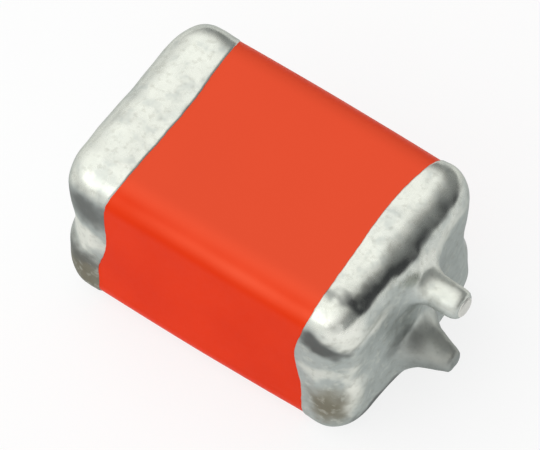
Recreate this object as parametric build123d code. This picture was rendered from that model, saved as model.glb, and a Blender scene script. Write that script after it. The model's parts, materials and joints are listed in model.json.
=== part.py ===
"""Solid tantalum chip capacitor: two stacked anodes in one red epoxy coating, with a solder-coated
termination on each end and two wire nibs standing out of the anode end.

X runs from the cathode end to the anode end, Y across the width and Z up from the circuit board.
The origin is the bottom centre of the whole part, nibs included. All sizes are in millimetres.
"""

from build123d import *
import os

# Overall sizes
body_length = 6.30  # from end face to end face over the solder, without the nibs
body_width = 4.30
body_height = 3.90
upper_nib_length = 1.00  # how far the upper wire stands out of the anode end face
lower_nib_length = 0.88

# Terminations, from the outside in
solder_lip = 0.04  # how far the solder stands proud of the coating
solder_rim_lip = 0.025  # the same at its feathered rim
solder_side_wall = 0.12  # solder over the nickel, on the four sides
solder_end_wall = 0.14  # solder over the nickel, on the end face
solder_end_radius = 0.60  # rounding round the end face
solder_end_corner = 0.86  # corners of the end face, before that rounding
land_trim = 0.01  # solder taken off the underside to make the flat soldering land
nickel_wall = 0.03
nickel_reach = 0.32  # how far the nickel wraps back along the coating
base_wall = 0.05  # silver-filled base coat under the nickel
base_reach = 0.25
waist_at_end = 0.16  # dip at mid-height in the solder's sides, where the two anodes meet
waist_at_middle = 0.02
waist_at_rim = 0.012

# The solder's rim wanders, because the solder wets the coating unevenly. The reach is how far it
# comes back from the end face over the top edges. Each pair below gives a place, as a share of the
# half width or half height, and a share of that reach: over the top, and what is added lower down.
cathode_rim_reach = 1.20
cathode_rim_across = [(-1.0, 0.98), (-0.6, 0.98), (-0.3, 1.025), (0.0, 1.045), (0.3, 1.035), (0.58, 0.99), (1.0, 0.995)]
cathode_rim_up = [
    (-1.0, -0.27),
    (-0.6, -0.26),
    (-0.35, -0.26),
    (-0.1, -0.16),
    (0.15, -0.11),
    (0.5, -0.14),
    (0.75, -0.12),
    (1.0, 0.0),
]
anode_rim_reach = 0.85
anode_rim_across = [
    (-1.0, 0.94),
    (-0.75, 0.965),
    (-0.5, 1.005),
    (-0.22, 0.99),
    (0.14, 1.125),
    (0.45, 1.14),
    (0.7, 1.06),
    (1.0, 0.905),
]
anode_rim_up = [
    (-1.0, 0.12),
    (-0.6, 0.15),
    (-0.2, 0.22),
    (0.05, 0.31),
    (0.25, 0.32),
    (0.55, 0.25),
    (0.8, 0.12),
    (1.0, 0.0),
]
rim_tolerance = 0.002

# Wires and the solder that climbs them
wire_radius = 0.20
wire_depth = 1.60  # how far each wire is buried in its pellet
wire_tip_radius = 0.04
bare_tip = 0.03  # cut end of the wire that the solder leaves bare
nib_radius = 0.265  # wire and its solder sleeve
nib_tip_radius = 0.10
meniscus_root = 0.08  # how deep each meniscus is rooted in the end wall
upper_wire_offset = 0.15  # sideways from the middle, as assembled
upper_meniscus_radius = 0.54
upper_meniscus_height = 0.40
lower_wire_offset = -0.03
lower_meniscus_radius = 0.76
lower_meniscus_height = 0.58

# Epoxy coating
coat_wall = 0.24  # on the four sides, between the terminations
coat_end_wall = 0.50  # over the anodes' wire ends
coat_crown = 0.02  # swell of each side at mid-length
coat_edge_radius = 0.58
coat_neck_length = 0.38  # thinner stretch at each end, under the base and nickel
coat_ramp_length = 0.12  # from the neck up to the full thickness
coat_neck_end_radius = 0.36
coat_setback = 0.10  # how far the coating stops short of the anodes' cathode faces

# Anodes
oxide_wall = 0.05  # manganese dioxide crust round the pellet
graphite_wall = 0.03
silver_wall = 0.04
pellet_edge_radius = 0.14
graphite_setback = 0.12  # bare crust left at the wire end
silver_setback = 0.12  # graphite left showing beyond the silver
bond_gap = 0.07  # silver-filled adhesive between the two anodes
cathode_pad_wall = 0.10  # silver-filled adhesive between the anodes and the cathode base
washer_radius = 0.50
washer_thickness = 0.15

# Places along the length
overall_length = body_length + max(upper_nib_length, lower_nib_length)
cathode_face = -overall_length / 2
anode_face = cathode_face + body_length
end_stack = solder_end_wall + nickel_wall + base_wall
form_start = cathode_face + end_stack
form_end = anode_face - end_stack
silver_start = form_start + cathode_pad_wall
graphite_start = silver_start + silver_wall
oxide_start = graphite_start + graphite_wall
pellet_start = oxide_start + oxide_wall
pellet_end = form_end - coat_end_wall
oxide_end = pellet_end + oxide_wall
graphite_end = oxide_end - graphite_setback
silver_end = graphite_end - silver_setback
coat_start = silver_start + coat_setback

# Sections across the length
mid_height = body_height / 2
coat_width = body_width - 2 * solder_lip
coat_height = body_height - 2 * solder_lip
neck_drop = solder_side_wall + nickel_wall + base_wall - solder_lip
neck_width = coat_width - 2 * neck_drop
neck_height = coat_height - 2 * neck_drop
neck_corner_radius = coat_edge_radius - neck_drop
anode_width = coat_width - 2 * coat_wall
anode_height = (coat_height - 2 * coat_wall - bond_gap) / 2
anode_walls = silver_wall + graphite_wall + oxide_wall
pellet_width = anode_width - 2 * anode_walls
pellet_height = anode_height - 2 * anode_walls
silver_edge_radius = pellet_edge_radius + anode_walls
upper_middle = mid_height + (anode_height + bond_gap) / 2
lower_middle = mid_height - (anode_height + bond_gap) / 2
beyond = 1.0  # how far a cutting shape runs past what it cuts


def cross_section(x, middle):
    """Plane across the length at x, with its own x along the width and its own y upwards."""
    return Plane(origin=(x, 0, middle), x_dir=(0, 1, 0), z_dir=(1, 0, 0))


def slice_between(x_start, x_end):
    """Block wider than the part, to keep or cut what lies between two places along it."""
    size = 2 * beyond + body_width + body_height
    return Pos((x_start + x_end) / 2, 0, mid_height) * Box(x_end - x_start, size, size)


def rod(x_start, x_end, radius, offset, middle):
    """Round bar along the length."""
    return extrude(cross_section(x_start, middle) * Pos(offset, 0) * Circle(radius), x_end - x_start)


def rounded_block(x_start, x_end, width, height, middle, radius):
    """Block with every edge rounded."""
    block = Pos((x_start + x_end) / 2, 0, middle) * Box(x_end - x_start, width, height)
    return fillet(block.edges(), radius)


def grown_pellet(grow, middle):
    """The pellet's outline grown evenly by one or more of its layers."""
    return rounded_block(
        pellet_start - grow,
        pellet_end + grow,
        pellet_width + 2 * grow,
        pellet_height + 2 * grow,
        middle,
        pellet_edge_radius + grow,
    )


def neck_section(x, grow=0):
    """Section of the coating's neck at x, grown evenly by what is laid on it."""
    section = RectangleRounded(neck_width + 2 * grow, neck_height + 2 * grow, neck_corner_radius + grow)
    return cross_section(x, mid_height) * section


def coat_section(x, swell):
    """Full section of the coating at x."""
    section = RectangleRounded(coat_width + 2 * swell, coat_height + 2 * swell, coat_edge_radius)
    return cross_section(x, mid_height) * section


def rounded_cup(end, inward, length, grow):
    """Bar with one rounded end, on the neck's own section grown evenly, cut off square at its length."""
    bar = extrude(neck_section(end, grow), inward * body_length / 2)
    face = bar.faces().sort_by(Axis.X)[0 if inward > 0 else -1]
    bar = fillet(face.edges(), coat_neck_end_radius + grow)
    return bar & slice_between(*sorted((end, end + inward * length)))


def coated_form():
    """Everything between the two terminations' base coats, as one solid without its insides."""
    neck_a = form_start + coat_neck_length
    neck_b = form_end - coat_neck_length
    full_a = neck_a + coat_ramp_length
    full_b = neck_b - coat_ramp_length
    crowned = loft([coat_section(full_a, 0), coat_section((full_a + full_b) / 2, coat_crown), coat_section(full_b, 0)])
    ramp_a = loft([neck_section(neck_a), coat_section(full_a, 0)], ruled=True)
    ramp_b = loft([neck_section(neck_b), coat_section(full_b, 0)], ruled=True)
    neck_a_bar = rounded_cup(form_start, 1, coat_neck_length, 0)
    neck_b_bar = rounded_cup(form_end, -1, coat_neck_length, 0)
    return neck_a_bar + ramp_a + crowned + ramp_b + neck_b_bar


def wire(offset, middle, nib_length):
    """Tantalum wire from inside its pellet to its cut end, with the cut edge a little rounded."""
    bar = rod(pellet_end - wire_depth, anode_face + nib_length, wire_radius, offset, middle)
    tip = bar.faces().sort_by(Axis.X)[-1]
    return fillet(tip.edges(), wire_tip_radius)


def anode_pieces(offset, middle, nib_length):
    """One anode's pellet, wire, washer and three coats, and the filled shape of them all."""
    pin = wire(offset, middle, nib_length)
    pellet = grown_pellet(0, middle)
    crust = grown_pellet(oxide_wall, middle)
    graphite_block = grown_pellet(oxide_wall + graphite_wall, middle)
    graphite_cup = graphite_block & slice_between(form_start, graphite_end)
    silver_block = grown_pellet(anode_walls, middle)
    silver_cup = silver_block & slice_between(form_start, silver_end)
    washer = rod(pellet_end, pellet_end + washer_thickness, washer_radius, offset, middle)
    return {
        "pellet": pellet - pin,
        "wire": pin,
        "washer": washer - pin,
        "manganese_dioxide": crust - pellet - washer,
        "graphite_layer": graphite_cup - crust,
        "silver_layer": silver_cup - graphite_block,
    }, silver_cup + graphite_cup + crust + washer + pin


def lobed_section(x, lip, waist, radius):
    """Outline of the solder across the length: a rounded rectangle whose sides dip at mid-height."""
    half = coat_width / 2 + lip
    top = coat_height / 2 + lip
    bottom = -top - land_trim
    across = half - radius
    upright = (0, 1)
    outline = Curve() + [
        CenterArc((across, top - radius), radius, 0, 90),
        Line((across, top), (-across, top)),
        CenterArc((-across, top - radius), radius, 90, 90),
        Spline((-half, bottom + radius), (waist - half, 0), (-half, top - radius), tangents=[upright, upright]),
        CenterArc((-across, bottom + radius), radius, 180, 90),
        Line((-across, bottom), (across, bottom)),
        CenterArc((across, bottom + radius), radius, 270, 90),
        Spline((half, bottom + radius), (half - waist, 0), (half, top - radius), tangents=[upright, upright]),
    ]
    return cross_section(x, mid_height) * make_face(outline)


def meniscus(offset, middle, radius, height, nib_length):
    """Solder climbing a wire: a concave skirt from the end face to an even sleeve round the wire."""
    sleeve_end = nib_length - bare_tip
    shoulder = nib_radius - nib_tip_radius
    foot = (radius, -meniscus_root)
    neck = (nib_radius, height)
    profile = Curve() + [
        Line((0, -meniscus_root), foot),
        Spline(foot, neck, tangents=[(-1, 0.35), (0, 1)]),
        Line(neck, (nib_radius, sleeve_end - nib_tip_radius)),
        CenterArc((shoulder, sleeve_end - nib_tip_radius), nib_tip_radius, 0, 90),
        Line((shoulder, sleeve_end), (0, sleeve_end)),
        Line((0, sleeve_end), (0, -meniscus_root)),
    ]
    along = Plane(origin=(anode_face, offset, middle), x_dir=(0, 1, 0), z_dir=(0, 0, -1))
    return revolve(along * make_face(profile), Axis((anode_face, offset, middle), (1, 0, 0)))


def rim_cutter(end, inward, reach, across, up):
    """Everything past the solder's wandering rim: a free-form sheet drawn out along the length."""
    half = body_width / 2
    high = body_height / 2
    rows = [(share * half, reach * part) for share, part in across]
    rows = [(-half - beyond, rows[0][1])] + rows + [(half + beyond, rows[-1][1])]
    columns = [(share * high, reach * part) for share, part in up]
    columns = [(-high - beyond, columns[0][1])] + columns + [(high + beyond, columns[-1][1])]
    grid = [[(end + inward * (back + more), y, mid_height + z) for z, more in columns] for y, back in rows]
    sheet = Face.make_surface_from_array_of_points(grid, tol=rim_tolerance)
    return extrude(sheet, body_length / 2, dir=(inward, 0, 0))


def solder_shell(end, inward, reach, across, up):
    """Outside of one solder coat, from its rim to its rounded end face, trimmed flat underneath."""
    longest = reach * (max(part for _, part in across) + max(part for _, part in up)) + solder_end_radius
    sections = [
        lobed_section(end + inward * longest, solder_rim_lip, waist_at_rim, coat_edge_radius + solder_rim_lip),
        lobed_section(end + inward * longest / 2, solder_lip, waist_at_middle, coat_edge_radius + solder_lip),
        lobed_section(end, solder_lip, waist_at_end, solder_end_corner),
    ]
    body = loft(sections)
    face = body.faces().sort_by(Axis.X)[0 if inward > 0 else -1]
    body = fillet(face.edges(), solder_end_radius)
    body -= Pos(end, 0, -beyond / 2) * Box(body_length, 2 * body_width, beyond)
    return body - rim_cutter(end, inward, reach, across, up)


def build_parts():
    """All the pieces by name."""
    upper, upper_filled = anode_pieces(upper_wire_offset, upper_middle, upper_nib_length)
    lower, lower_filled = anode_pieces(lower_wire_offset, lower_middle, lower_nib_length)
    wires = upper["wire"] + lower["wire"]
    form = coated_form()

    bond_width = anode_width - 2 * silver_edge_radius
    bond = Pos((coat_start + silver_end) / 2, 0, mid_height) * Box(silver_end - coat_start, bond_width, bond_gap)
    pad = (form & slice_between(form_start - beyond, coat_start)) - upper_filled - lower_filled
    coat = (form & slice_between(coat_start, form_end + beyond)) - upper_filled - lower_filled - bond

    cathode_base_cup = rounded_cup(form_start - base_wall, 1, base_wall + base_reach, base_wall)
    anode_base_cup = rounded_cup(form_end + base_wall, -1, base_wall + base_reach, base_wall)
    both_walls = base_wall + nickel_wall
    cathode_nickel_cup = rounded_cup(form_start - both_walls, 1, both_walls + nickel_reach, both_walls)
    anode_nickel_cup = rounded_cup(form_end + both_walls, -1, both_walls + nickel_reach, both_walls)

    cathode_solder = solder_shell(cathode_face, 1, cathode_rim_reach, cathode_rim_across, cathode_rim_up)
    anode_solder = solder_shell(anode_face, -1, anode_rim_reach, anode_rim_across, anode_rim_up)
    anode_solder += meniscus(
        upper_wire_offset, upper_middle, upper_meniscus_radius, upper_meniscus_height, upper_nib_length
    )
    anode_solder += meniscus(
        lower_wire_offset, lower_middle, lower_meniscus_radius, lower_meniscus_height, lower_nib_length
    )

    parts = {
        "epoxy_coating": coat,
        "anode_bond": bond,
        "cathode_adhesive": pad,
        "cathode_base_coat": cathode_base_cup - form,
        "anode_base_coat": anode_base_cup - form - wires,
        "cathode_nickel_barrier": cathode_nickel_cup - cathode_base_cup - form,
        "anode_nickel_barrier": anode_nickel_cup - anode_base_cup - form - wires,
        "cathode_solder_coat": cathode_solder - cathode_nickel_cup - form,
        "anode_solder_coat": anode_solder - anode_nickel_cup - form - wires,
    }
    parts |= {f"upper_{name}": piece for name, piece in upper.items()}
    parts |= {f"lower_{name}": piece for name, piece in lower.items()}
    return parts


os.makedirs("parts", exist_ok=True)
for node, piece in build_parts().items():
    export_step(piece, f"parts/{node}.step")
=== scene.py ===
"""Looks for a solid tantalum chip capacitor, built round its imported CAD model.

The red epoxy coating, the two lumpy solder caps and the solder that climbs the two wires are
modelled here over the CAD solids, in the CAD frame: X along the length from the cathode end to the
anode end, Y across the width, Z up from the circuit board. Shapes are worked out in millimetres
and brought down to metres when a mesh is finished.
"""

import json
import math

import bmesh
import bpy
from bpy.props import FloatProperty, FloatVectorProperty, PointerProperty
from mathutils import Matrix, Vector, noise


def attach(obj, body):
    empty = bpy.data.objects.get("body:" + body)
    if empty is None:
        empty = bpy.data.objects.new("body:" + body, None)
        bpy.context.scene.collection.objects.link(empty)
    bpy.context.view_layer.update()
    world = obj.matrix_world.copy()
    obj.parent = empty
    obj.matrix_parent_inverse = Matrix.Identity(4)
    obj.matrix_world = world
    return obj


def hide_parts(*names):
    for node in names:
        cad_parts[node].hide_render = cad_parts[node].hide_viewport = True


bl_info = {
    "name": "Tantalum chip capacitor",
    "version": (1, 0, 0),
    "blender": (4, 5, 0),
    "location": "3D View > Sidebar > Capacitor",
    "description": "Red epoxy coating, solder caps and wire nibs of a chip capacitor",
    "category": "Object",
}

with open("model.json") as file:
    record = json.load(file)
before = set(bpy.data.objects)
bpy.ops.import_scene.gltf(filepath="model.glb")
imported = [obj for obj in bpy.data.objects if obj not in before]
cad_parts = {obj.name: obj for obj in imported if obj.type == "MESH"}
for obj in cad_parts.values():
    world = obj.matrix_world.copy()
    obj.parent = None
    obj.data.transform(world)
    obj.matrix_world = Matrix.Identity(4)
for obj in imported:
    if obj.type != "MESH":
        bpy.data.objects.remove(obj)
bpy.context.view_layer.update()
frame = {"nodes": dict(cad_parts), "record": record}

MM = 0.001

# The part's own sizes, in millimetres, as its CAD source has them
CATHODE_FACE = -3.65
ANODE_FACE = 2.65
HALF_WIDTH = 2.15
MID_HEIGHT = 1.95
COAT_HALF_WIDTH = 2.11
COAT_HALF_HEIGHT = 1.91
COAT_START = -3.23  # cut edge of the coating, under the cathode cap
COAT_END = 2.43  # its rounded end, under the anode cap
FULL_START = -2.93  # between these two places the coating has its full section
FULL_END = 1.93
NECK_DROP = 0.16  # how far the coating draws in under the caps
NECK_SLOPE = 0.12  # length over which it does so
COAT_CROWN = 0.02
COAT_EDGE_RADIUS = 0.58
NECK_END_RADIUS = 0.36
UPPER_WIRE = (0.15, 2.8025)  # across and up
LOWER_WIRE = (-0.03, 1.0975)
# Solder over what lies under it, at each depth from the end face: (depth, thickness)
SOLDER_OVER_LAYERS = [
    (0.0, 0.125), (0.12, 0.16), (0.2, 0.16), (0.3, 0.125),
    (0.4, 0.11), (0.6, 0.10), (0.70, 0.028), (1.5, 0.022),
]

# The coating's mesh: points across and up its end, rings round the end and along the sides
COAT_COLUMNS, COAT_ROWS = 54, 50
COAT_ROUNDING_RINGS, COAT_SIDE_RINGS = 8, 84
COAT_WALL = 0.2
SMALLEST_COAT_CORNER = 0.02

# A cap's mesh in the same way
CAP_COLUMNS, CAP_ROWS = 84, 76
CAP_ROUNDING_RINGS, CAP_SIDE_RINGS = 22, 18
CAP_WALL = 0.09
SMALLEST_CAP_CORNER = 0.05
CORNER_AT_RIM = 0.605
CORNER_GROWTH = 0.255  # what the corners gain from the rim to the end face
# The rim's feathered edge, ring by ring: how far short of the reach, and how far down
FEATHER = [(0.022, 0.006), (0.006, 0.02), (0.0, 0.045), (0.02, 0.075)]
SIDE_STOPS_SHORT = 0.05  # of the reach, where the feather takes over
# Waves that the rim wanders in: height, length and what is added to the cap's seed
RIM_WAVES = [(0.010, 0.45, 0), (0.009, 0.12, 3)]
LUMPS = [(0.7, 1.0, 0), (0.45, 0.42, 7)]  # the same, as shares of the lumps' height
LUMP_MIDDLE = 0.45  # share of it by which the surface sinks where the noise is nought

# The dip at mid-height, where the two anodes meet: it lies a little low and is narrower below
WAIST_DROP = 0.10
WAIST_WIDE_ABOVE, WAIST_WIDE_BELOW = 0.62, 0.30
WAIST_AT_END, WAIST_AT_RIM = 0.17, 0.012

# How far each solder rim comes back from its end face: a share of the reach for each place across
# the half width, and what is added for each place up the half height
CATHODE_RIM = {
    "reach": 1.20,
    "across": [
        (-1.0, 1.02), (-0.8, 1.02), (-0.6, 1.02), (-0.3, 1.035),
        (0.0, 1.045), (0.3, 1.03), (0.58, 0.99), (1.0, 0.995),
    ],
    "up": [
        (-1.0, -0.27), (-0.6, -0.26), (-0.35, -0.26), (-0.1, -0.16),
        (0.15, -0.11), (0.5, -0.14), (0.75, -0.12), (1.0, 0.0),
    ],
}
ANODE_RIM = {
    "reach": 0.85,
    "across": [
        (-1.0, 1.01), (-0.75, 1.01), (-0.5, 1.05), (-0.22, 1.09), (0.05, 1.14),
        (0.3, 1.155), (0.5, 1.14), (0.7, 1.07), (1.0, 0.95),
    ],
    "up": [
        (-1.0, 0.10), (-0.6, 0.14), (-0.3, 0.15), (-0.1, 0.235), (0.07, 0.30), (0.22, 0.32),
        (0.36, 0.29), (0.52, 0.20), (0.70, 0.11), (0.88, 0.03), (1.0, 0.0),
    ],
}

# How the anode end face swells round each wire: wire, height and width
SWELLINGS = [(UPPER_WIRE, 0.24, 0.56), (LOWER_WIRE, 0.18, 0.78)]
# The soft crease that runs down the anode end face, across and up, from its top towards its front
CREASE_START, CREASE_END = Vector((-0.80, 3.14)), Vector((-1.98, 2.84))
CREASE_DEPTH, CREASE_WIDTH = 0.035, 0.085

# Solder round each wire: places along it from the end face, and radii
UPPER_SLEEVE = [
    (-0.09, 0.0), (-0.09, 0.40), (0.16, 0.40), (0.19, 0.365), (0.24, 0.335), (0.31, 0.314),
    (0.42, 0.305), (0.56, 0.298), (0.72, 0.298), (0.84, 0.290), (0.91, 0.270), (0.95, 0.24),
    (0.968, 0.19), (0.972, 0.12), (0.974, 0.0),
]
LOWER_SLEEVE = [
    (-0.09, 0.0), (-0.09, 0.62), (0.10, 0.62), (0.15, 0.55), (0.23, 0.475), (0.34, 0.41),
    (0.46, 0.36), (0.58, 0.318), (0.68, 0.285), (0.77, 0.252), (0.83, 0.23), (0.875, 0.212),
    (0.90, 0.175), (0.914, 0.11), (0.918, 0.0),
]
SLEEVE_STEPS = 48  # round its wire
LONGEST_NIB = 0.975  # from the end face
SAME_PLACE = 0.004  # points this near each other on the end face and the nibs are merged
FOOT_SPACING = 0.035  # the same at the feet of the sleeves
FOOT_BAND = (0.30, 1.0)  # distances from a wire between which its foot lies
# Rounds of smoothing at the feet: from and to which distance from a wire, and how many
FOOT_SMOOTHING = [(0.30, 1.05, 8), (0.32, 0.90, 14)]
NIB_ROUGHNESS = 0.024
NIB_SMOOTH_BELOW, NIB_ROUGH_ABOVE = 0.25, 0.5  # distances from the end face

# Dark patches, stains, painted highlights and frosting on the solder: place, reach along each axis,
# strength. The dark patches are partly tarnish and partly painted shade and painted reflections
DARK_SPOTS = [
    ((-3.00, -2.10, 2.97), (0.55, 0.6, 0.40), 0.88),
    ((-3.20, -2.10, 1.25), (0.5, 0.6, 0.26), 0.7),
    ((1.92, -2.08, 3.08), (0.34, 0.5, 0.25), 1.0),
    ((2.28, -2.02, 2.88), (0.26, 0.4, 0.19), 0.85),
    ((2.37, -1.15, 3.72), (0.09, 0.40, 0.3), 0.6),
    ((2.26, -1.44, 3.78), (0.20, 0.13, 0.3), 0.85),
    ((1.98, -1.58, 3.74), (0.15, 0.12, 0.3), 0.7),
    ((2.62, -1.0, 0.45), (0.2, 1.0, 0.17), 1.0),
    ((2.70, 0.95, 1.9), (0.2, 0.75, 0.9), 0.18),
    ((3.20, -0.03, 1.10), (0.60, 0.60, 0.55), 0.55),
    ((2.75, -0.60, 1.20), (0.3, 0.8, 0.7), 0.12),
    ((2.78, -0.42, 1.62), (0.25, 0.42, 0.22), 0.4),
    ((-3.2, 2.1, 1.0), (0.5, 0.6, 0.45), 0.5),
    ((2.2, 2.1, 2.9), (0.35, 0.5, 0.3), 0.55),
]
BROWN_SPOTS = [
    ((-3.08, -2.10, 0.80), (0.6, 0.6, 0.62), 1.0),
    ((2.24, -2.10, 1.12), (0.36, 0.6, 0.46), 1.0),
    ((-3.0, 2.1, 2.7), (0.5, 0.6, 0.4), 0.5),
]
# Painted highlights: bright places laid into the solder's colour where it catches light
PAINTED_HIGHLIGHT_SPOTS = [
    ((-3.10, -2.10, 1.98), (0.45, 0.5, 0.27), 1.0),
    ((2.40, -1.88, 3.48), (0.40, 0.34, 0.30), 1.0),
    ((2.60, -1.50, 3.10), (0.2, 0.7, 0.22), 0.8),
    ((2.05, -2.10, 2.08), (0.5, 0.4, 0.16), 0.45),
    ((2.60, -2.00, 1.60), (0.16, 0.4, 0.75), 1.0),
    ((3.35, 0.15, 2.80), (0.48, 0.45, 0.45), 0.15),
    ((2.75, 0.9, 3.3), (0.2, 1.0, 0.2), 0.6),
]
FROST_SPOTS = [
    ((3.25, 0.15, 2.80), (0.55, 0.42, 0.42), 1.0),
    ((3.20, -0.03, 1.10), (0.7, 0.8, 0.7), 1.0),
]
RAGGED_SEEDS = (61, 67, 73)  # one for each axis

# Wires and layers inside: colour, metallic, roughness and grains to the millimetre
INNER_FINISHES = {
    "nickel": ((0.55, 0.53, 0.48), 0.9, 0.38, 14),
    "silver_filled_resin": ((0.62, 0.61, 0.58), 0.6, 0.6, 18),
    "silver_paint": ((0.70, 0.69, 0.66), 0.6, 0.55, 20),
    "graphite": ((0.03, 0.03, 0.032), 0.0, 0.8, 16),
    "manganese_dioxide": ((0.05, 0.045, 0.042), 0.0, 0.9, 12),
    "sintered_tantalum": ((0.14, 0.14, 0.15), 0.3, 0.8, 30),
    "washer": ((0.85, 0.85, 0.84), 0.0, 0.5, 8),
    "tantalum_wire": ((0.80, 0.80, 0.75), 0.8, 0.5, 16),
}

# Stage, in metres but for the place looked at
LOOKED_AT = (-0.493, 0.0093, 1.944)  # in the picture's middle, in millimetres
FLOOR_HALF = 0.6
LAMP_DISTANCE = 0.30
# Each lamp: name, the way to it from the part, width, height and the setting that holds its light
SOFT_BOXES = [
    ("over", (-0.30, 0.35, 0.90), 0.22, 0.22, "key"),
    ("front_left", (-0.33, -0.85, 0.45), 0.34, 0.20, "side"),
    ("front_right", (0.74, -0.66, 0.24), 0.12, 0.12, "side"),
]
# Light all round: way to its bright side, colours of both sides, and (share of the way, level)
WAY_TO_BRIGHT_SIDE = (-0.58, -0.40, 0.72)
DIM_SIDE, BRIGHT_SIDE = (0.24, 0.25, 0.255, 1), (1.38, 1.38, 1.36, 1)
LEVELS_BETWEEN = ((0.12, 0.27), (0.35, 0.66), (0.62, 1.17))
IMAGE_WIDTH = 540  # in pixels
SENSOR_WIDTH = 36  # in millimetres, like the lens
PIXELS_PER_MM = 56.01  # how large the part is in the picture


def colour_property(name, description, default):
    """A colour that a user would change."""
    return FloatVectorProperty(
        name=name, description=description, default=default, subtype="COLOR", min=0, max=1
    )


def share_property(name, description, default):
    """A share from 0 to 1 that a user would change."""
    return FloatProperty(
        name=name, description=description, default=default, subtype="FACTOR", min=0, max=1
    )


def size_property(name, description, default, **limits):
    """A size in millimetres that a user would change."""
    return FloatProperty(name=name, description=f"{description}, in mm", default=default, **limits)


class SolderSettings(bpy.types.PropertyGroup):
    """Sizes and tones of the solder."""

    lump: size_property("Lumps", "Height of the broad lumps", 0.035, min=0)
    end_radius: size_property("End rounding", "Rounding round each end face", 0.60, min=0.3, max=0.8)
    lip: size_property("Lip", "How far the solder stands proud of the coating", 0.04, min=0, max=0.1)
    bright: colour_property("Bright", "Clean solder", (0.71, 0.73, 0.66))
    # Dull is the solder's own mottling and also the painted shade on its sides and end faces
    dull: colour_property("Dull", "Dull solder", (0.44, 0.48, 0.465))
    brown: colour_property("Brown", "Stained solder", (0.215, 0.20, 0.15))
    # Dark is laid on as tarnish and also as painted shade and painted reflections
    dark: colour_property("Dark", "Tarnished solder", (0.13, 0.135, 0.13))
    roughness: share_property("Roughness", "Middle roughness of the solder", 0.27)
    frost: share_property("Frost", "Roughness that frosting and dulling add", 0.22)
    # Colour of the painted highlights on the solder
    clean: colour_property("Clean", "Rubbed places", (0.88, 0.89, 0.82))


class EpoxySettings(bpy.types.PropertyGroup):
    """Colours and gloss of the red coating."""

    colour: colour_property("Colour", "Red-orange of the coating", (0.74, 0.034, 0.002))
    deep: colour_property("Deep", "Where the coating is thicker", (0.69, 0.028, 0.001))
    # Colour of the painted sheen: a lighter band along the long edges and a lighter top
    painted_sheen: colour_property("Thin", "Where the coating thins out over its long edges", (0.87, 0.102, 0.043))
    roughness: share_property("Roughness", "Middle roughness of the coating", 0.36)
    unevenness: size_property("Unevenness", "Height of the coating's faint waves", 0.006, min=0, max=0.02)


class StageSettings(bpy.types.PropertyGroup):
    """Floor, light and camera."""

    azimuth: FloatProperty(
        name="Azimuth",
        description="Camera's way round the part",
        default=math.radians(35.09),
        subtype="ANGLE",
    )
    elevation: FloatProperty(
        name="Elevation",
        description="Camera's height above the horizon",
        default=math.radians(58.14),
        subtype="ANGLE",
    )
    lens: FloatProperty(
        name="Lens", description="Focal length, long so that edges stay parallel", default=800, min=50
    )
    floor: colour_property("Floor", "Floor colour", (0.96, 0.96, 0.96))
    background: share_property("Background", "Share of plain white in the floor as it is seen", 0.8)
    key: FloatProperty(
        name="Key light", description="Radiance of the soft box over the part", default=0.15, min=0
    )
    side: FloatProperty(
        name="Side light", description="Radiance of the soft boxes at the front", default=0.5, min=0
    )


# Curves and noise


def smooth_step(value, low, high):
    """0 below low, 1 above high and an even S between."""
    share = min(1.0, max(0.0, (value - low) / (high - low)))
    return share * share * (3 - 2 * share)


def along_table(table, place):
    """Value of a table of (place, value) pairs at a place, on a smooth curve through them."""
    if place <= table[0][0]:
        return table[0][1]
    if place >= table[-1][0]:
        return table[-1][1]
    last = next(i for i, (at, _) in enumerate(table) if at >= place)
    (a, value_a), (b, value_b) = table[last - 1], table[last]
    before = table[max(0, last - 2)]
    after = table[min(len(table) - 1, last + 1)]
    slope_a = (value_b - before[1]) / (b - before[0])
    slope_b = (after[1] - value_a) / (after[0] - a)
    span, t = b - a, (place - a) / (b - a)
    return (
        value_a * (1 + 2 * t) * (1 - t) ** 2
        + slope_a * span * t * (1 - t) ** 2
        + value_b * t * t * (3 - 2 * t)
        - slope_b * span * t * t * (1 - t)
    )


def wander(point, scale, seed):
    """Smooth noise from about -1 to 1 with a wavelength of about scale."""
    return noise.noise(Vector(point) / scale + Vector((seed, seed * 1.7, -seed)))


# Shapes


def tray(columns, rows, rings):
    """A grid over -1..1 across and up, with its edge drawn out in rings. X is minus the ring's number."""
    bm = bmesh.new()
    bmesh.ops.create_grid(bm, x_segments=columns, y_segments=rows, size=1)
    upright = Matrix(((0, 0, 1), (1, 0, 0), (0, 1, 0)))
    bmesh.ops.rotate(bm, verts=bm.verts, cent=(0, 0, 0), matrix=upright)
    edge = [e for e in bm.edges if e.is_boundary]
    for _ in range(rings):
        made = bmesh.ops.extrude_edge_only(bm, edges=edge)["geom"]
        bmesh.ops.translate(bm, verts=[g for g in made if isinstance(g, bmesh.types.BMVert)], vec=(-1, 0, 0))
        edge = [g for g in made if isinstance(g, bmesh.types.BMEdge) and g.is_boundary]
    return bm


def inner_place(y, z, half_width, half_height, radius):
    """Nearest place on or in the core that a rounded rectangle's corners are struck round."""
    inner_y = max(-(half_width - radius), min(half_width - radius, y))
    inner_z = max(-(half_height - radius), min(half_height - radius, z))
    return inner_y, inner_z


def rounded_place(across, up, half_width, half_height, radius):
    """Place in a rounded rectangle for a place across and up in a square of -1..1."""
    y, z = across * half_width, up * half_height
    inner_y, inner_z = inner_place(y, z, half_width, half_height, radius)
    out_y, out_z = y - inner_y, z - inner_z
    if out_y and out_z:
        squeeze = max(abs(out_y), abs(out_z)) / math.hypot(out_y, out_z)
        out_y, out_z = out_y * squeeze, out_z * squeeze
    return inner_y + out_y, inner_z + out_z


def side_normal(across, up, half_width, half_height, radius):
    """Way out of a rounded rectangle's side at a place across and up in a square of -1..1."""
    y, z = across * half_width, up * half_height
    inner_y, inner_z = inner_place(y, z, half_width, half_height, radius)
    out = Vector((y - inner_y, z - inner_z))
    return out.normalized() if out.length > 1e-9 else Vector((0, 0))


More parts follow.
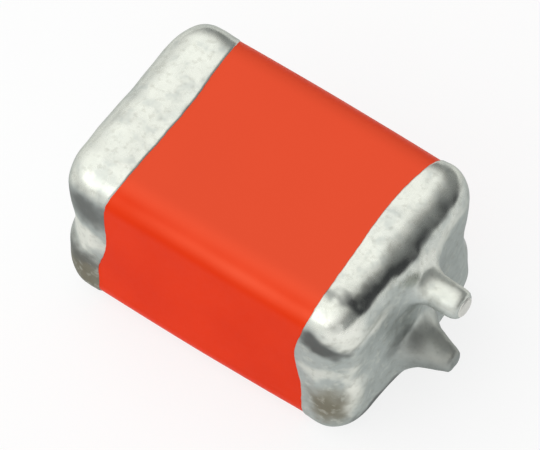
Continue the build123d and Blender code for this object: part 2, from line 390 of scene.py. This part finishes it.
def give_wall(bm, end_normal, wall):
    """Turns a tray's faces outwards and gives it a wall on the inside."""
    bmesh.ops.recalc_face_normals(bm, faces=bm.faces)
    bm.faces.ensure_lookup_table()
    if bm.faces[0].normal.x * end_normal < 0:
        bmesh.ops.reverse_faces(bm, faces=bm.faces)
    bmesh.ops.solidify(bm, geom=bm.faces, thickness=wall)


def finish_piece(bm, name, material):
    """Turns a bmesh in millimetres into a smooth, named piece that rides on the part."""
    bmesh.ops.scale(bm, vec=(MM, MM, MM), verts=bm.verts)
    bmesh.ops.recalc_face_normals(bm, faces=bm.faces)
    for face in bm.faces:
        face.smooth = True
    mesh = bpy.data.meshes.new(name)
    bm.to_mesh(mesh)
    bm.free()
    mesh.materials.append(material)
    piece = bpy.data.objects.new(name, mesh)
    bpy.context.scene.collection.objects.link(piece)
    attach(piece, "root")
    return piece


def shape_coating(bm, settings):
    """Lays a tray over the coating's outside, from its rounded anode end to its cut cathode edge."""
    side_length = COAT_END - NECK_END_RADIUS - COAT_START
    middle = (FULL_START + FULL_END) / 2
    for v in bm.verts:
        ring, across, up = -v.co.x, v.co.y, v.co.z
        if ring <= COAT_ROUNDING_RINGS:
            angle = math.pi / 2 * (1 - ring / COAT_ROUNDING_RINGS)
            x = COAT_END - NECK_END_RADIUS * (1 - math.sin(angle))
            inset = NECK_END_RADIUS * (1 - math.cos(angle))
        else:
            share = (ring - COAT_ROUNDING_RINGS) / COAT_SIDE_RINGS
            x = COAT_END - NECK_END_RADIUS - share * side_length
            inset = 0
        past_start = smooth_step(x, FULL_START - NECK_SLOPE, FULL_START)
        past_end = smooth_step(x, FULL_END, FULL_END + NECK_SLOPE)
        neck = 1 - past_start * (1 - past_end)
        out = (x - middle) / ((FULL_END - FULL_START) / 2)
        drop = inset + neck * NECK_DROP - (COAT_CROWN * max(0, 1 - out * out))
        radius = max(SMALLEST_COAT_CORNER, COAT_EDGE_RADIUS - inset - neck * NECK_DROP)
        y, z = rounded_place(across, up, COAT_HALF_WIDTH - drop, COAT_HALF_HEIGHT - drop, radius)
        if ring > 0:
            wave = settings.unevenness * (1 - neck) * wander((x, y, z), 1.3, 4)
            length = math.hypot(y / COAT_HALF_WIDTH, z / COAT_HALF_HEIGHT)
            y += wave * y / COAT_HALF_WIDTH / length
            z += wave * z / COAT_HALF_HEIGHT / length
        v.co = (x, y, MID_HEIGHT + z)


def rim_reach(rim, across, up, seed):
    """How far the solder comes back from its end face at a place round its section."""
    y, z = rounded_place(across, up, HALF_WIDTH, MID_HEIGHT, COAT_EDGE_RADIUS)
    share = along_table(rim["across"], y / HALF_WIDTH) + along_table(rim["up"], z / MID_HEIGHT)
    waves = sum(height * wander((0, y, z), length, seed + more) for height, length, more in RIM_WAVES)
    return rim["reach"] * share + waves


def ring_depth(ring, turn, reach, end_radius):
    """Depth of a cap's ring from the end face, and how far down the rim's feather it lies."""
    if ring <= CAP_ROUNDING_RINGS:
        return end_radius * (1 - math.sin(turn)), 0
    along = ring - CAP_ROUNDING_RINGS
    if along <= CAP_SIDE_RINGS:
        return end_radius + along / CAP_SIDE_RINGS * (reach - SIDE_STOPS_SHORT - end_radius), 0
    short, down = FEATHER[int(along - CAP_SIDE_RINGS) - 1]
    return reach - short, down


def waist(depth, y, z):
    """How far the solder dips at mid-height, on its sides and in the end face towards them."""
    above = z + WAIST_DROP
    wide = WAIST_WIDE_ABOVE if above > 0 else WAIST_WIDE_BELOW
    near_end = WAIST_AT_END * smooth_step(0.75 - depth, 0, 0.5)
    return math.exp(-((above / wide) ** 2)) * (near_end + WAIST_AT_RIM) * smooth_step(abs(y), 0.8, 2.0)


def swelling(y, up):
    """How far the solder is drawn out of the anode end face round the two wires."""
    height = 0
    for (wire_y, wire_up), rise, wide in SWELLINGS:
        away = math.hypot(y - wire_y, up - wire_up)
        height += rise * math.exp(-((away / wide) ** 2))
    return height


def crease(y, up):
    """Depth of the crease in the anode end face."""
    along = CREASE_END - CREASE_START
    from_start = Vector((y, up)) - CREASE_START
    share = min(1.0, max(0.0, from_start.dot(along) / along.length_squared))
    away = (from_start - share * along).length
    return CREASE_DEPTH * math.exp(-((away / CREASE_WIDTH) ** 2)) * smooth_step(share, 0.1, 0.75)


def shape_cap(bm, end, inward, rim, seed, settings):
    """Lays a tray over a solder cap's outside, from its end face to its feathered rim."""
    for v in bm.verts:
        ring, across, up = -v.co.x, v.co.y, v.co.z
        reach = rim_reach(rim, across, up, seed)
        turn = math.pi / 2 * (1 - min(1, ring / CAP_ROUNDING_RINGS))
        depth, down = ring_depth(ring, turn, reach, settings.end_radius)
        inset = settings.end_radius * (1 - math.cos(turn))
        to_rim = 1 - depth / reach
        corner = CORNER_AT_RIM + CORNER_GROWTH * max(0, to_rim) ** 3
        proud = settings.lip * (0.62 + 0.38 * smooth_step(to_rim, 0, 0.3)) - down
        drop = HALF_WIDTH - COAT_HALF_WIDTH - proud + inset
        section = (HALF_WIDTH - drop, MID_HEIGHT - drop, max(SMALLEST_CAP_CORNER, corner - inset))
        y, z = rounded_place(across, up, *section)
        side_y, side_z = side_normal(across, up, *section)
        outward = Vector((math.sin(turn), side_y * math.cos(turn), side_z * math.cos(turn)))

        place = (end + inward * depth, y, z)
        lump = sum(share * wander(place, length, seed + more) for share, length, more in LUMPS)
        away_from_rim = smooth_step(reach - depth, 0.0, 0.28)
        sink = waist(depth, y, z) + settings.lump * (LUMP_MIDDLE - lump) * away_from_rim
        # never so deep that the layer under the solder would show
        room = along_table(SOLDER_OVER_LAYERS, depth)
        if ring > CAP_ROUNDING_RINGS + CAP_SIDE_RINGS:
            sink = 0
        elif sink > 0:
            sink = room * (1 - math.exp(-sink / room))
        depth += sink * outward.x
        y -= sink * outward.y
        z -= sink * outward.z
        height = MID_HEIGHT + z
        if end == ANODE_FACE:
            depth += (crease(y, height) - swelling(y, height)) * math.sin(turn) ** 4
        v.co = (end + inward * depth, y, max(0.0, height))


def spun(profile, axis, start):
    """Solid turned from a profile of (along, radius) pairs round a line parallel to X."""
    bm = bmesh.new()
    verts = [bm.verts.new((start + along, radius, 0)) for along, radius in profile]
    edges = [bm.edges.new(pair) for pair in zip(verts, verts[1:])]
    bmesh.ops.spin(
        bm,
        geom=verts + edges,
        cent=(0, 0, 0),
        axis=(1, 0, 0),
        angle=2 * math.pi,
        steps=SLEEVE_STEPS,
        use_merge=True,
    )
    bmesh.ops.remove_doubles(bm, verts=bm.verts, dist=1e-5)
    bmesh.ops.translate(bm, verts=bm.verts, vec=(0, axis[0], axis[1]))
    bmesh.ops.recalc_face_normals(bm, faces=bm.faces)
    return bm


def put_in_order(bm):
    """Numbers points, edges and faces by place, because a Boolean leaves them in no fixed order."""
    slanted = Vector((1, math.sqrt(2) / 3, math.sqrt(3) / 7))
    bm.verts.sort(key=lambda v: slanted.dot(v.co))
    bm.edges.sort(key=lambda e: slanted.dot(e.verts[0].co + e.verts[1].co))
    bm.faces.sort(key=lambda f: slanted.dot(f.calc_center_median()))


def join_sleeve(cap, profile, axis):
    """Joins the solder round one wire to the anode cap."""
    bm = spun(profile, axis, ANODE_FACE)
    bmesh.ops.scale(bm, vec=(MM, MM, MM), verts=bm.verts)
    mesh = bpy.data.meshes.new("sleeve")
    bm.to_mesh(mesh)
    bm.free()
    sleeve = bpy.data.objects.new("sleeve", mesh)
    bpy.context.scene.collection.objects.link(sleeve)
    joint = cap.modifiers.new("sleeve", "BOOLEAN")
    joint.operation = "UNION"
    joint.solver = "EXACT"
    joint.object = sleeve
    bpy.context.view_layer.update()
    joined = bpy.data.meshes.new_from_object(cap.evaluated_get(bpy.context.evaluated_depsgraph_get()))
    cap.modifiers.clear()
    cap.data = joined
    bpy.data.objects.remove(sleeve)
    bm = bmesh.new()
    bm.from_mesh(joined)
    put_in_order(bm)
    bm.to_mesh(joined)
    bm.free()


def at_foot(vertex, away_low, away_high):
    """True where a sleeve runs out into the end face, between two distances from its wire."""
    x, y, z = vertex.co / MM
    if not ANODE_FACE - 0.05 < x < ANODE_FACE + 0.34:
        return False
    return any(
        away_low < math.hypot(y - wire_y, z - wire_z) < away_high
        for wire_y, wire_z in (UPPER_WIRE, LOWER_WIRE)
    )


def mend_surface(bm):
    """Takes out the fins that merging leaves where two faces fall together, and closes the holes."""
    for _ in range(4):
        crowded = [
            f for f in bm.faces if len(f.verts) == 3 and any(len(e.link_faces) > 2 for e in f.edges)
        ]
        if crowded:
            bmesh.ops.delete(bm, geom=crowded, context="FACES")
        open_edges = [e for e in bm.edges if e.is_boundary]
        if open_edges:
            bmesh.ops.holes_fill(bm, edges=open_edges)
        if not crowded and not open_edges:
            break


def melt_joints(mesh):
    """Lets the solder flow from the end face into the two nibs, and roughens the nibs a little."""
    bm = bmesh.new()
    bm.from_mesh(mesh)
    on_face = [v for v in bm.verts if v.co.x > (ANODE_FACE - 0.1) * MM]
    bmesh.ops.remove_doubles(bm, verts=on_face, dist=SAME_PLACE * MM)
    # few and even points at the feet, so that they melt together instead of keeping a seam
    feet = [v for v in bm.verts if at_foot(v, *FOOT_BAND)]
    bmesh.ops.remove_doubles(bm, verts=feet, dist=FOOT_SPACING * MM)
    mend_surface(bm)
    bmesh.ops.triangulate(bm, faces=[f for f in bm.faces if len(f.verts) > 4])
    for away_low, away_high, rounds in FOOT_SMOOTHING:
        feet = [v for v in bm.verts if at_foot(v, away_low, away_high)]
        for _ in range(rounds):
            bmesh.ops.smooth_vert(
                bm, verts=feet, factor=0.5, use_axis_x=True, use_axis_y=True, use_axis_z=True
            )
    bm.normal_update()
    smooth_below = ANODE_FACE + NIB_SMOOTH_BELOW
    rough_above = ANODE_FACE + NIB_ROUGH_ABOVE
    for v in bm.verts:
        place = v.co / MM
        if place.x > smooth_below:
            roughness = 0.6 * wander(place, 0.30, 41) + 0.5 * wander(place, 0.13, 43)
            share = smooth_step(place.x, smooth_below, rough_above)
            v.co += v.normal * roughness * NIB_ROUGHNESS * share * MM
    for v in bm.verts:
        v.co.x = min(v.co.x, (ANODE_FACE + LONGEST_NIB) * MM)
    for face in bm.faces:
        face.smooth = True
    bm.to_mesh(mesh)
    bm.free()


# Numbers painted on the pieces for their materials


def paint_attribute(mesh, name, function):
    """Stores a number at each vertex for the material to read."""
    attribute = mesh.attributes.new(name, "FLOAT", "POINT")
    for vertex in mesh.vertices:
        attribute.data[vertex.index].value = function(vertex.co / MM, vertex.normal)


def painted_sheen(place, normal):
    """Painted sheen on the coating: a lighter band on its long edges, and a lighter top."""
    tilt = math.degrees(math.atan2(abs(normal.z), abs(normal.y)))
    edge = math.exp(-(((tilt - 38) / 16) ** 2))
    return 0.7 * edge * (0.85 + 0.6 * wander(place, 0.9, 17)) + 0.75 * smooth_step(normal.z, 0.72, 0.97)


def spotted(place, spots):
    """Strength at a place of soft spots with ragged edges."""
    total = 0
    ragged = Vector(
        0.16 * wander(place, 0.42, seed) + 0.09 * wander(place, 0.15, seed + 1) for seed in RAGGED_SEEDS
    )
    for centre, reach, strength in spots:
        away = sum(((a + o - b) / r) ** 2 for a, o, b, r in zip(place, ragged, centre, reach))
        if away < 9:
            total += strength * math.exp(-away * away * 0.6)
    return min(1.0, total)


def edge_painted_reflection(place, normal):
    """Painted reflection: a dark mottled streak along the anode cap's top edge, where it turns down to the
    end face.
    """
    if place.x < 1.5 or place.x > 2.75:
        return 0.0
    # the streak follows how far the surface turns from the top to the end face, as a reflection of the dim
    # side would
    tilt = math.atan2(normal.x, max(1e-6, normal.z)) + 0.12 * wander(place, 0.3, 37)
    along = (1 - smooth_step(place.y, 1.5, 2.0)) * (1 - smooth_step(-place.y, 1.35, 1.65))
    streak = smooth_step(tilt, 0.34, 0.90) ** 1.3 * (1 - smooth_step(tilt, 0.90, 1.06))
    darker = 0.72 + 0.48 * smooth_step(-place.y, -1.8, 1.3)
    patchy = 0.97 + 0.4 * wander(place, 0.45, 31) + 0.35 * wander(place, 0.16, 5)
    return along * streak * darker * max(0.0, patchy)


def painted_shade_and_tarnish(place, normal):
    """Dark patches, partly tarnish and partly painted shade and painted reflections, and the painted
    reflection along the anode cap's top edge.
    """
    return min(1.0, spotted(place, DARK_SPOTS) + edge_painted_reflection(place, normal))


def stain(place, normal):
    """Brown patches."""
    return spotted(place, BROWN_SPOTS)


def painted_side_shade(place, normal):
    """Painted shade: the sides and end faces are greyer than the top, apart from the painted highlights."""
    up_to = 0.45 + 0.55 * max(0, normal.x)
    return 0.9 * (1 - smooth_step(normal.z, 0.0, up_to)) * (1 - spotted(place, PAINTED_HIGHLIGHT_SPOTS))


def clean(place, normal):
    """Painted highlights."""
    return 0.8 * spotted(place, PAINTED_HIGHLIGHT_SPOTS)


def frost(place, normal):
    """Frosting of the nibs, and of the sides and end faces."""
    return max(spotted(place, FROST_SPOTS), 0.75 * (1 - smooth_step(normal.z, 0.0, 0.45)))


SOLDER_PAINT = {"painted_shade_and_tarnish": painted_shade_and_tarnish, "stain": stain, "painted_side_shade": painted_side_shade, "clean": clean, "frost": frost}


# Materials


def start_material(name):
    """A node material with its shader, and its coordinates on the piece in millimetres."""
    material = bpy.data.materials.new(name)
    material.use_nodes = True
    tree = material.node_tree
    shader = tree.nodes["Principled BSDF"]
    place = tree.nodes.new("ShaderNodeTexCoord")
    to_mm = tree.nodes.new("ShaderNodeMapping")
    to_mm.inputs["Scale"].default_value = (1 / MM,) * 3
    tree.links.new(place.outputs["Object"], to_mm.inputs["Vector"])
    return material, tree, shader, to_mm.outputs["Vector"]


def noise_node(tree, place, scale, detail=3.0, distortion=0.0):
    """Noise with that many lumps to the millimetre."""
    node = tree.nodes.new("ShaderNodeTexNoise")
    node.inputs["Scale"].default_value = scale
    node.inputs["Detail"].default_value = detail
    node.inputs["Distortion"].default_value = distortion
    tree.links.new(place, node.inputs["Vector"])
    return node.outputs["Fac"]


def attribute_node(tree, name):
    """A number painted on the piece's own vertices."""
    node = tree.nodes.new("ShaderNodeAttribute")
    node.attribute_name = name
    return node.outputs["Fac"]


def spread(tree, value, low, high, to_low=0.0, to_high=1.0):
    """Spreads a value from one range to another, smoothly."""
    node = tree.nodes.new("ShaderNodeMapRange")
    node.interpolation_type = "SMOOTHSTEP"
    for name, number in (("From Min", low), ("From Max", high), ("To Min", to_low), ("To Max", to_high)):
        node.inputs[name].default_value = number
    tree.links.new(value, node.inputs["Value"])
    return node.outputs["Result"]


def math_node(tree, operation, *values):
    """A sum on plain numbers or nodes' outputs."""
    node = tree.nodes.new("ShaderNodeMath")
    node.operation = operation
    for socket, value in zip(node.inputs, values):
        if isinstance(value, bpy.types.NodeSocket):
            tree.links.new(value, socket)
        else:
            socket.default_value = value
    return node.outputs["Value"]


def mixed(tree, share, first, second):
    """Mix of two colours, each a plain colour or a node's output."""
    node = tree.nodes.new("ShaderNodeMix")
    node.data_type = "RGBA"
    tree.links.new(share, node.inputs["Factor"])
    for name, colour in (("A", first), ("B", second)):
        socket = next(s for s in node.inputs if s.name == name and s.type == "RGBA")
        if isinstance(colour, bpy.types.NodeSocket):
            tree.links.new(colour, socket)
        else:
            socket.default_value = (*colour, 1)
    return next(s for s in node.outputs if s.type == "RGBA")


def bumped(tree, shader, heights):
    """Bump from several (height, strength, depth in mm) in turn."""
    normal = None
    for height, strength, depth in heights:
        node = tree.nodes.new("ShaderNodeBump")
        node.inputs["Strength"].default_value = strength
        node.inputs["Distance"].default_value = depth * MM
        tree.links.new(height, node.inputs["Height"])
        if normal is not None:
            tree.links.new(normal, node.inputs["Normal"])
        normal = node.outputs["Normal"]
    tree.links.new(normal, shader.inputs["Normal"])


def epoxy_material(settings):
    """Satin red-orange epoxy with faint variation in tone and gloss, and a painted sheen on its long edges
    and top.
    """
    material, tree, shader, place = start_material("red_epoxy")
    shader.inputs["Specular IOR Level"].default_value = 0.03
    broad = noise_node(tree, place, 0.45, 2)
    fine = noise_node(tree, place, 7, 3)
    tone = mixed(tree, spread(tree, broad, 0.3, 0.75), settings.colour, settings.deep)
    # the sheen attribute paints a lighter band on the long edges and a lighter top
    tone = mixed(tree, attribute_node(tree, "painted_sheen"), tone, settings.painted_sheen)
    tree.links.new(tone, shader.inputs["Base Color"])
    rough = spread(tree, fine, 0.3, 0.7, settings.roughness - 0.03, settings.roughness + 0.04)
    tree.links.new(rough, shader.inputs["Roughness"])
    bumped(tree, shader, [(broad, 0.25, 0.02), (fine, 0.12, 0.004)])
    return material


def solder_material(settings):
    """Half dull tin and lead solder: bright metal, grey-green mottling, brown stains and tarnish, with
    painted shade, painted reflections and painted highlights.
    """
    material, tree, shader, place = start_material("solder")
    shader.inputs["Metallic"].default_value = 0.9
    shader.inputs["Specular Tint"].default_value = (0.57, 0.59, 0.58, 1)
    broad = noise_node(tree, place, 1.3, 2)
    fine = noise_node(tree, place, 4.5, 3)
    grain = noise_node(tree, place, 16, 2)
    flecks = spread(tree, noise_node(tree, place, 8, 3), 0.48, 0.74, 0, 0.22)
    pale = spread(tree, noise_node(tree, place, 6, 3, 0.4), 0.5, 0.72, 0, 0.35)
    tone = mixed(tree, spread(tree, broad, 0.45, 0.75, 0, 0.45), settings.bright, settings.dull)
    # the side-shade, highlight and dark-patch attributes paint shade, highlights and dark reflections into
    # the colour; the noise, stains and flecks are the solder's own mottling
    for share, colour in (
        (spread(tree, fine, 0.5, 0.75, 0, 0.4), settings.dull),
        (attribute_node(tree, "painted_side_shade"), settings.dull),
        (attribute_node(tree, "clean"), settings.clean),
        (attribute_node(tree, "stain"), settings.brown),
        (flecks, settings.brown),
        (pale, settings.bright),
        (attribute_node(tree, "painted_shade_and_tarnish"), settings.dark),
    ):
        tone = mixed(tree, share, tone, colour)
    tree.links.new(tone, shader.inputs["Base Color"])
    rough = spread(tree, fine, 0.3, 0.75, settings.roughness - 0.05, settings.roughness + 0.07)
    frosted = math_node(tree, "MULTIPLY_ADD", attribute_node(tree, "frost"), settings.frost, rough)
    tree.links.new(frosted, shader.inputs["Roughness"])
    bumped(tree, shader, [(broad, 0.2, 0.05), (fine, 0.09, 0.012), (grain, 0.03, 0.002)])
    return material


def inner_material(name, colour, metallic, roughness, grain):
    """A dull metal, paint or crust for the pieces inside, with its own grain."""
    material, tree, shader, place = start_material(name)
    shader.inputs["Metallic"].default_value = metallic
    speckle = noise_node(tree, place, grain, 4)
    darker = tuple(0.7 * part for part in colour)
    tree.links.new(mixed(tree, speckle, darker, colour), shader.inputs["Base Color"])
    rough = spread(tree, speckle, 0.3, 0.7, roughness - 0.06, roughness + 0.08)
    tree.links.new(rough, shader.inputs["Roughness"])
    bumped(tree, shader, [(speckle, 0.3, 0.01)])
    return material


# Stage


def aim(thing, where, towards):
    """Places a lamp or the camera and points it."""
    thing.location = where
    thing.rotation_mode = "QUATERNION"
    thing.rotation_quaternion = (Vector(towards) - Vector(where)).to_track_quat("-Z", "Y")


def soft_box(name, direction, width, height, radiance, target):
    """Rectangular lamp whose face has the given radiance."""
    lamp = bpy.data.lights.new(name, "AREA")
    lamp.shape = "RECTANGLE"
    lamp.size, lamp.size_y = width, height
    lamp.energy = math.pi * width * height * radiance
    thing = bpy.data.objects.new(name, lamp)
    thing.visible_camera = False
    bpy.context.scene.collection.objects.link(thing)
    aim(thing, target + Vector(direction).normalized() * LAMP_DISTANCE, target)


def whiten_background(tree, shader, share):
    """Lets the camera, gloss and glass see a share of plain white in the floor, over its own shading."""
    seen = tree.nodes.new("ShaderNodeLightPath")
    white = tree.nodes.new("ShaderNodeEmission")
    either = seen.outputs["Is Camera Ray"]
    for name in ("Is Glossy Ray", "Is Transmission Ray"):
        either = math_node(tree, "MAXIMUM", either, seen.outputs[name])
    blend = tree.nodes.new("ShaderNodeMixShader")
    tree.links.new(math_node(tree, "MULTIPLY", either, share), blend.inputs["Fac"])
    tree.links.new(shader.outputs["BSDF"], blend.inputs[1])
    tree.links.new(white.outputs["Emission"], blend.inputs[2])
    tree.links.new(blend.outputs["Shader"], tree.nodes["Material Output"].inputs["Surface"])


def make_floor(settings):
    """A plain pale floor."""
    bm = bmesh.new()
    bmesh.ops.create_grid(bm, x_segments=2, y_segments=2, size=FLOOR_HALF)
    mesh = bpy.data.meshes.new("floor")
    bm.to_mesh(mesh)
    bm.free()
    floor = bpy.data.objects.new("floor", mesh)
    bpy.context.scene.collection.objects.link(floor)
    material = bpy.data.materials.new("floor")
    material.use_nodes = True
    shader = material.node_tree.nodes["Principled BSDF"]
    shader.inputs["Base Color"].default_value = (*settings.floor, 1)
    shader.inputs["Roughness"].default_value = 0.9
    shader.inputs["Specular IOR Level"].default_value = 0.1
    whiten_background(material.node_tree, shader, settings.background)
    mesh.materials.append(material)


def make_world():
    """Soft light all round, from a dim side to a bright one."""
    world = bpy.data.worlds.new("studio")
    bpy.context.scene.world = world
    world.use_nodes = True
    tree = world.node_tree
    place = tree.nodes.new("ShaderNodeTexCoord")
    height = tree.nodes.new("ShaderNodeVectorMath")
    height.operation = "DOT_PRODUCT"
    height.inputs[1].default_value = Vector(WAY_TO_BRIGHT_SIDE).normalized()
    tree.links.new(place.outputs["Generated"], height.inputs[0])
    ramp = tree.nodes.new("ShaderNodeValToRGB")
    stops = ramp.color_ramp.elements
    stops[0].position, stops[0].color = 0.0, DIM_SIDE
    stops[1].position, stops[1].color = 1.0, BRIGHT_SIDE
    for position, level in LEVELS_BETWEEN:
        stops.new(position).color = (level, level, level, 1)
    tree.links.new(height.outputs["Value"], ramp.inputs["Fac"])
    tree.links.new(ramp.outputs["Color"], tree.nodes["Background"].inputs["Color"])


def make_camera(settings, target):
    """A camera at the photograph's angle, far away so that edges stay parallel."""
    distance = settings.lens * IMAGE_WIDTH / SENSOR_WIDTH / PIXELS_PER_MM * MM
    level = math.cos(settings.elevation)
    right, ahead = math.sin(settings.azimuth) * level, math.cos(settings.azimuth) * level
    back = Vector((right, -ahead, math.sin(settings.elevation)))
    data = bpy.data.cameras.new("camera")
    data.lens = settings.lens
    data.sensor_width = SENSOR_WIDTH
    data.clip_start, data.clip_end = 0.001, 2
    camera = bpy.data.objects.new("camera", data)
    bpy.context.scene.collection.objects.link(camera)
    aim(camera, target + back * distance, target)
    bpy.context.scene.camera = camera


class CAPACITOR_OT_coating(bpy.types.Operator):
    """Make the red epoxy coating"""

    bl_idname = "capacitor.coating"
    bl_label = "Red coating"

    def execute(self, context):
        settings = context.scene.capacitor_epoxy
        bm = tray(COAT_COLUMNS, COAT_ROWS, COAT_ROUNDING_RINGS + COAT_SIDE_RINGS)
        shape_coating(bm, settings)
        give_wall(bm, 1, COAT_WALL)
        piece = finish_piece(bm, "red_coating", epoxy_material(settings))
        paint_attribute(piece.data, "painted_sheen", painted_sheen)
        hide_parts("epoxy_coating")
        return {"FINISHED"}


class CAPACITOR_OT_solder(bpy.types.Operator):
    """Make both solder caps, and the solder round the wires"""

    bl_idname = "capacitor.solder"
    bl_label = "Solder caps"

    def execute(self, context):
        settings = context.scene.capacitor_solder
        material = solder_material(settings)
        cathode = self.make_cap("cathode_solder", CATHODE_FACE, 1, CATHODE_RIM, 11, settings, material)
        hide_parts("cathode_solder_coat")
        anode = self.make_cap("anode_solder", ANODE_FACE, -1, ANODE_RIM, 23, settings, material)
        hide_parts("anode_solder_coat")
        for profile, wire in ((UPPER_SLEEVE, UPPER_WIRE), (LOWER_SLEEVE, LOWER_WIRE)):
            join_sleeve(anode, profile, wire)
        melt_joints(anode.data)
        for cap in (cathode, anode):
            for name, function in SOLDER_PAINT.items():
                paint_attribute(cap.data, name, function)
        return {"FINISHED"}

    def make_cap(self, name, end, inward, rim, seed, settings, material):
        """One solder cap as a piece, without nibs."""
        bm = tray(CAP_COLUMNS, CAP_ROWS, CAP_ROUNDING_RINGS + CAP_SIDE_RINGS + len(FEATHER))
        shape_cap(bm, end, inward, rim, seed, settings)
        give_wall(bm, -inward, CAP_WALL)
        return finish_piece(bm, name, material)


class CAPACITOR_OT_inside(bpy.types.Operator):
    """Give the wires and the layers inside their materials"""

    bl_idname = "capacitor.inside"
    bl_label = "Wires and inner layers"

    def execute(self, context):
        slots = {row["node"]: row["material_slot"] for row in frame["record"]["subparts"]}
        for slot, finish in INNER_FINISHES.items():
            material = inner_material(slot, *finish)
            for node, piece in frame["nodes"].items():
                if slots.get(node) == slot:
                    piece.data.materials.clear()
                    piece.data.materials.append(material)
        return {"FINISHED"}


class CAPACITOR_OT_stage(bpy.types.Operator):
    """Make the floor, the light and the camera"""

    bl_idname = "capacitor.stage"
    bl_label = "Floor, light and camera"

    def execute(self, context):
        settings = context.scene.capacitor_stage
        target = Vector(LOOKED_AT) * MM
        make_floor(settings)
        make_world()
        for name, direction, width, height, light in SOFT_BOXES:
            soft_box(name, direction, width, height, getattr(settings, light), target)
        make_camera(settings, target)
        context.scene.view_settings.view_transform = "Standard"
        return {"FINISHED"}


class CAPACITOR_PT_panel(bpy.types.Panel):
    """Settings and steps of the capacitor"""

    bl_label = "Chip capacitor"
    bl_idname = "CAPACITOR_PT_panel"
    bl_space_type = "VIEW_3D"
    bl_region_type = "UI"
    bl_category = "Capacitor"

    def draw(self, context):
        scene = context.scene
        for group, operators in (
            (scene.capacitor_epoxy, ["capacitor.coating"]),
            (scene.capacitor_solder, ["capacitor.solder", "capacitor.inside"]),
            (scene.capacitor_stage, ["capacitor.stage"]),
        ):
            column = self.layout.box().column()
            for name in group.__annotations__:
                column.prop(group, name)
            for operator in operators:
                column.operator(operator)


CLASSES = (
    SolderSettings,
    EpoxySettings,
    StageSettings,
    CAPACITOR_OT_coating,
    CAPACITOR_OT_solder,
    CAPACITOR_OT_inside,
    CAPACITOR_OT_stage,
    CAPACITOR_PT_panel,
)


def register():
    for cls in CLASSES:
        bpy.utils.register_class(cls)
    bpy.types.Scene.capacitor_solder = PointerProperty(type=SolderSettings)
    bpy.types.Scene.capacitor_epoxy = PointerProperty(type=EpoxySettings)
    bpy.types.Scene.capacitor_stage = PointerProperty(type=StageSettings)


def unregister():
    del bpy.types.Scene.capacitor_stage
    del bpy.types.Scene.capacitor_epoxy
    del bpy.types.Scene.capacitor_solder
    for cls in reversed(CLASSES):
        bpy.utils.unregister_class(cls)


def main():
    """Builds everything in order."""
    register()
    bpy.ops.capacitor.coating()
    bpy.ops.capacitor.solder()
    bpy.ops.capacitor.inside()
    bpy.ops.capacitor.stage()


if __name__ == "__main__":
    main()
